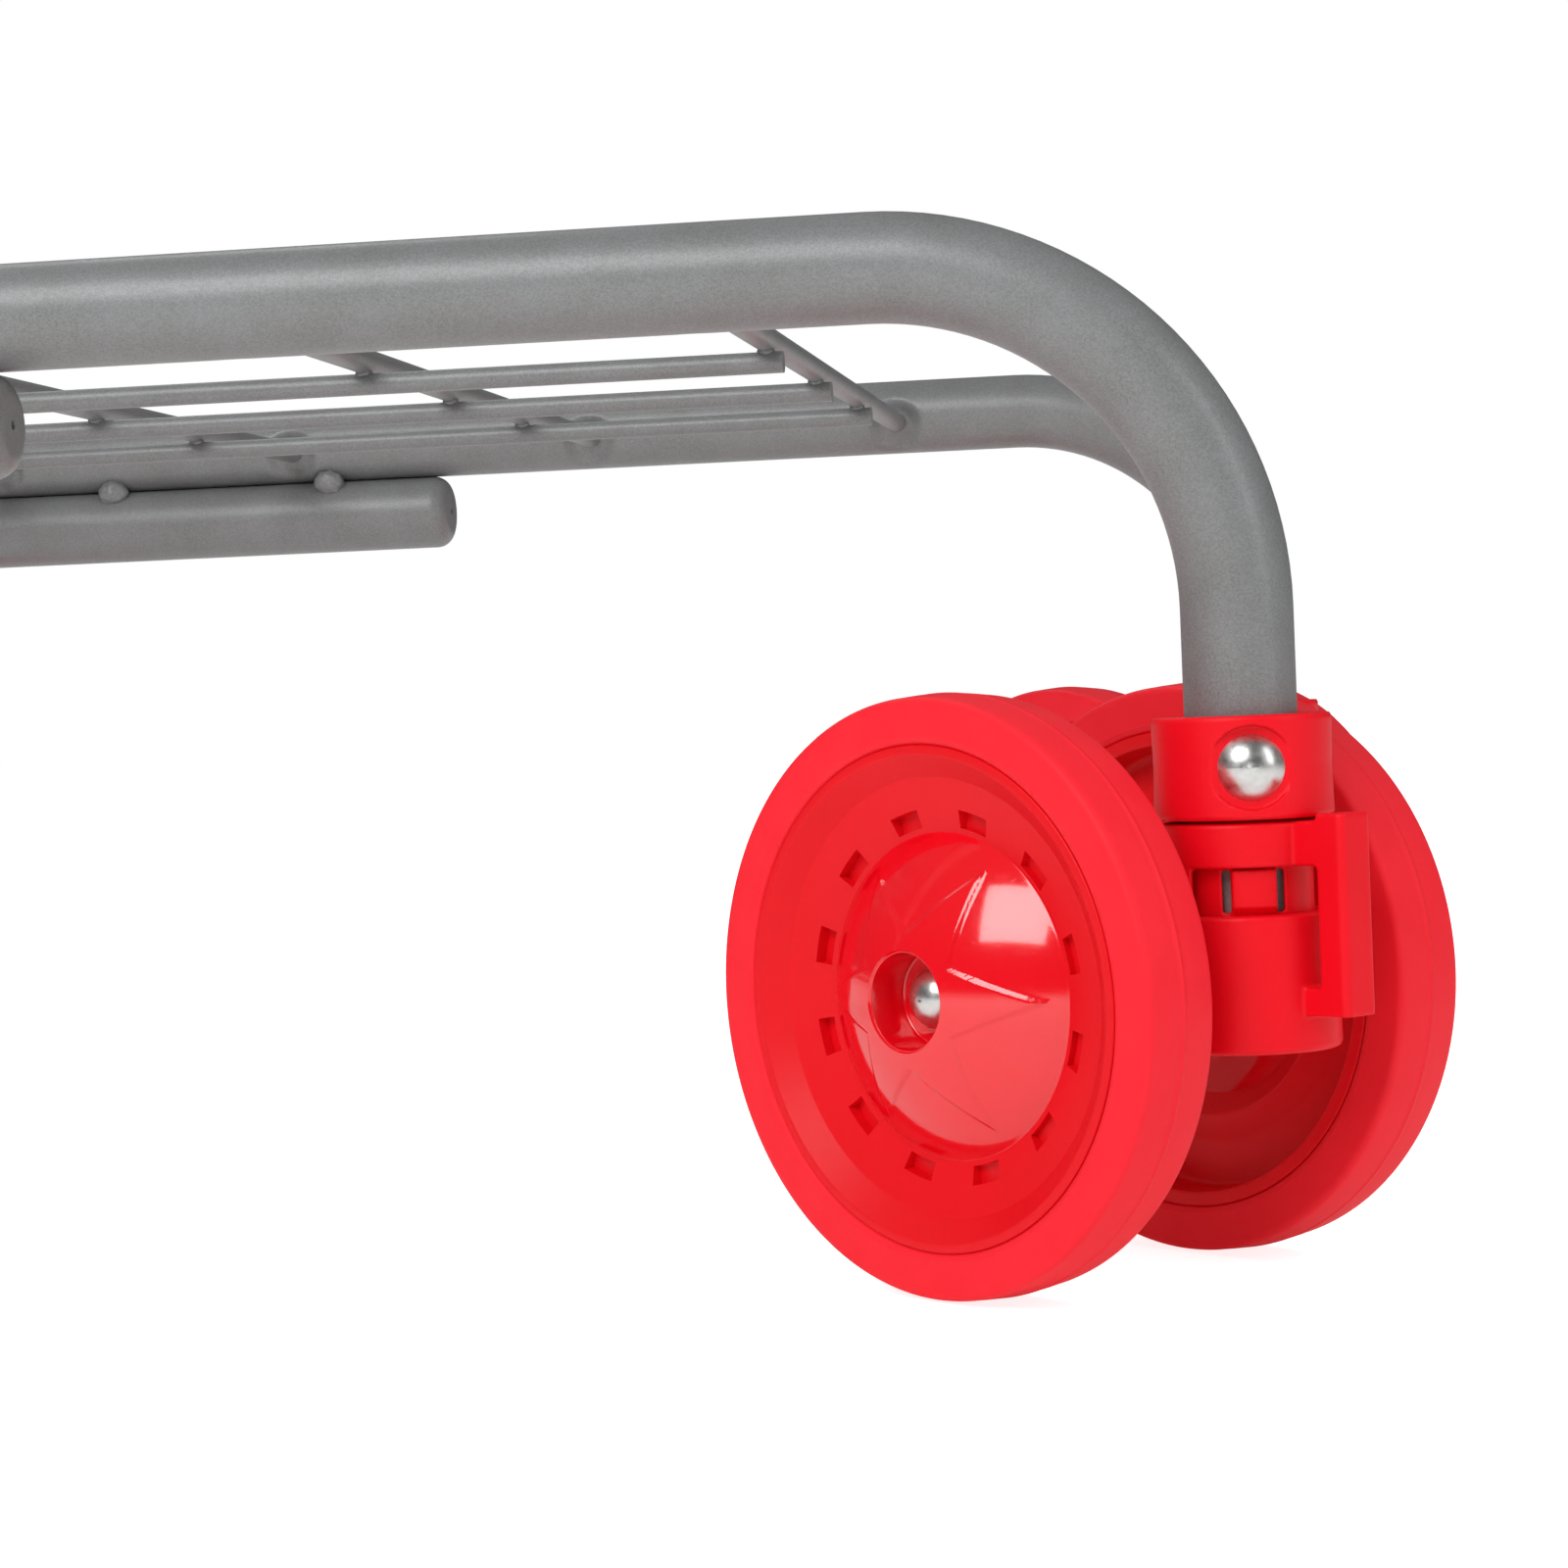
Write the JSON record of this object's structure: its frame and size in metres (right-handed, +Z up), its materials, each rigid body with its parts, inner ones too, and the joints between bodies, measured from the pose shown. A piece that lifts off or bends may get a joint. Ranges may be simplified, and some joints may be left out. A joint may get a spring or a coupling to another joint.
{
  "type": "folding shopping cart",
  "caption": "Folding shopping cart frame of bent silver tube with a rod rack, red twin-wheel swivel casters, rear wheels and a U-shaped push handle.",
  "frame": {"origin": "on the floor under the cart's centre plane, midway between the casters' swivel axes and the rear axle", "axes": "+X forward, towards the casters; +Y the cart's left; +Z up"},
  "size_m": [0.6055, 0.5256, 1.0053],
  "materials": {
    "frame_paint": "silver-grey metallic powder coat with a clear satin gloss",
    "red_plastic": "injection-moulded polypropylene, bright red, satin",
    "red_hub": "injection-moulded polypropylene, bright red, satin dish and polished dome",
    "red_tyre": "soft moulded thermoplastic tread, bright red, matt",
    "cap_chrome": "bright zinc-plated steel",
    "axle_steel": "drawn zinc-plated steel",
    "dark_plastic": "moulded black plastic, fine texture",
    "grip_rubber": "soft black foam rubber"
  },
  "bodies": {
    "chassis": {"side_tube_right": "frame_paint", "rear_leg_right": "frame_paint", "caster_collar_right": "red_plastic", "hinge_bracket_right": "red_plastic", "button_spring_right": "axle_steel", "side_tube_left": "frame_paint", "rear_leg_left": "frame_paint", "caster_collar_left": "red_plastic", "hinge_bracket_left": "red_plastic", "button_spring_left": "axle_steel", "leg_welds": "frame_paint", "rack_cross_rods": "frame_paint", "rack_long_rods": "frame_paint", "rack_welds": "frame_paint", "collar_rivets": "cap_chrome", "rear_axle": "axle_steel", "rear_axle_caps": "cap_chrome", "rear_washers": "axle_steel", "tube_plugs": "dark_plastic", "hinge_pins": "axle_steel", "bracket_rivets": "cap_chrome"},
    "upright": {"upright_tube": "frame_paint", "upright_crossbars": "frame_paint", "handle_grip": "grip_rubber", "bag_hooks": "red_plastic"},
    "button_right": {"release_button_right": "dark_plastic"},
    "button_left": {"release_button_left": "dark_plastic"},
    "caster_right": {"caster_housing_right": "red_plastic", "caster_axle_right": "axle_steel", "caster_axle_caps_right": "cap_chrome"},
    "front_wheel_right_near": {"front_hub_right_near": "red_hub", "front_tyre_right_near": "red_tyre"},
    "front_wheel_right_far": {"front_hub_right_far": "red_hub", "front_tyre_right_far": "red_tyre"},
    "caster_left": {"caster_housing_left": "red_plastic", "caster_axle_left": "axle_steel", "caster_axle_caps_left": "cap_chrome"},
    "front_wheel_left_near": {"front_hub_left_near": "red_hub", "front_tyre_left_near": "red_tyre"},
    "front_wheel_left_far": {"front_hub_left_far": "red_hub", "front_tyre_left_far": "red_tyre"},
    "rear_wheel_right": {"rear_hub_right": "red_hub", "rear_tyre_right": "red_tyre"},
    "rear_wheel_left": {"rear_hub_left": "red_hub", "rear_tyre_left": "red_tyre"}
  },
  "joints": [
    {"name": "upright_fold", "type": "hinge", "parent": "chassis", "child": "upright", "pos_m": [-0.225, 0, 0.2328], "axis": [0, 1, 0], "range_deg": [0, 88]},
    {"name": "button_press_right", "type": "slide", "parent": "chassis", "child": "button_right", "axis": [0, 1, 0], "range_m": [0, 0.003], "stiffness_N_per_m": 600, "deforming": ["button_spring_right"]},
    {"name": "button_press_left", "type": "slide", "parent": "chassis", "child": "button_left", "axis": [0, -1, 0], "range_m": [0, 0.003], "stiffness_N_per_m": 600, "deforming": ["button_spring_left"]},
    {"name": "caster_swivel_right", "type": "hinge", "parent": "chassis", "child": "caster_right", "pos_m": [0.245, -0.19, 0.1], "axis": [0, 0, 1], "continuous": true},
    {"name": "front_wheel_spin_right_near", "type": "hinge", "parent": "caster_right", "child": "front_wheel_right_near", "pos_m": [0.18717, -0.19067, 0.06], "axis": [0.6361, 0.7716, 0], "continuous": true},
    {"name": "front_wheel_spin_right_far", "type": "hinge", "parent": "caster_right", "child": "front_wheel_right_far", "pos_m": [0.23462, -0.1331, 0.06], "axis": [0.6361, 0.7716, 0], "continuous": true},
    {"name": "caster_swivel_left", "type": "hinge", "parent": "chassis", "child": "caster_left", "pos_m": [0.245, 0.19, 0.1], "axis": [0, 0, 1], "continuous": true},
    {"name": "front_wheel_spin_left_near", "type": "hinge", "parent": "caster_left", "child": "front_wheel_left_near", "pos_m": [0.18717, 0.18933, 0.06], "axis": [0.6361, 0.7716, 0], "continuous": true},
    {"name": "front_wheel_spin_left_far", "type": "hinge", "parent": "caster_left", "child": "front_wheel_left_far", "pos_m": [0.23462, 0.2469, 0.06], "axis": [0.6361, 0.7716, 0], "continuous": true},
    {"name": "rear_wheel_spin_right", "type": "hinge", "parent": "chassis", "child": "rear_wheel_right", "pos_m": [-0.245, -0.2132, 0.075], "axis": [0, 1, 0], "continuous": true},
    {"name": "rear_wheel_spin_left", "type": "hinge", "parent": "chassis", "child": "rear_wheel_left", "pos_m": [-0.245, 0.2132, 0.075], "axis": [0, 1, 0], "continuous": true}
  ]
}
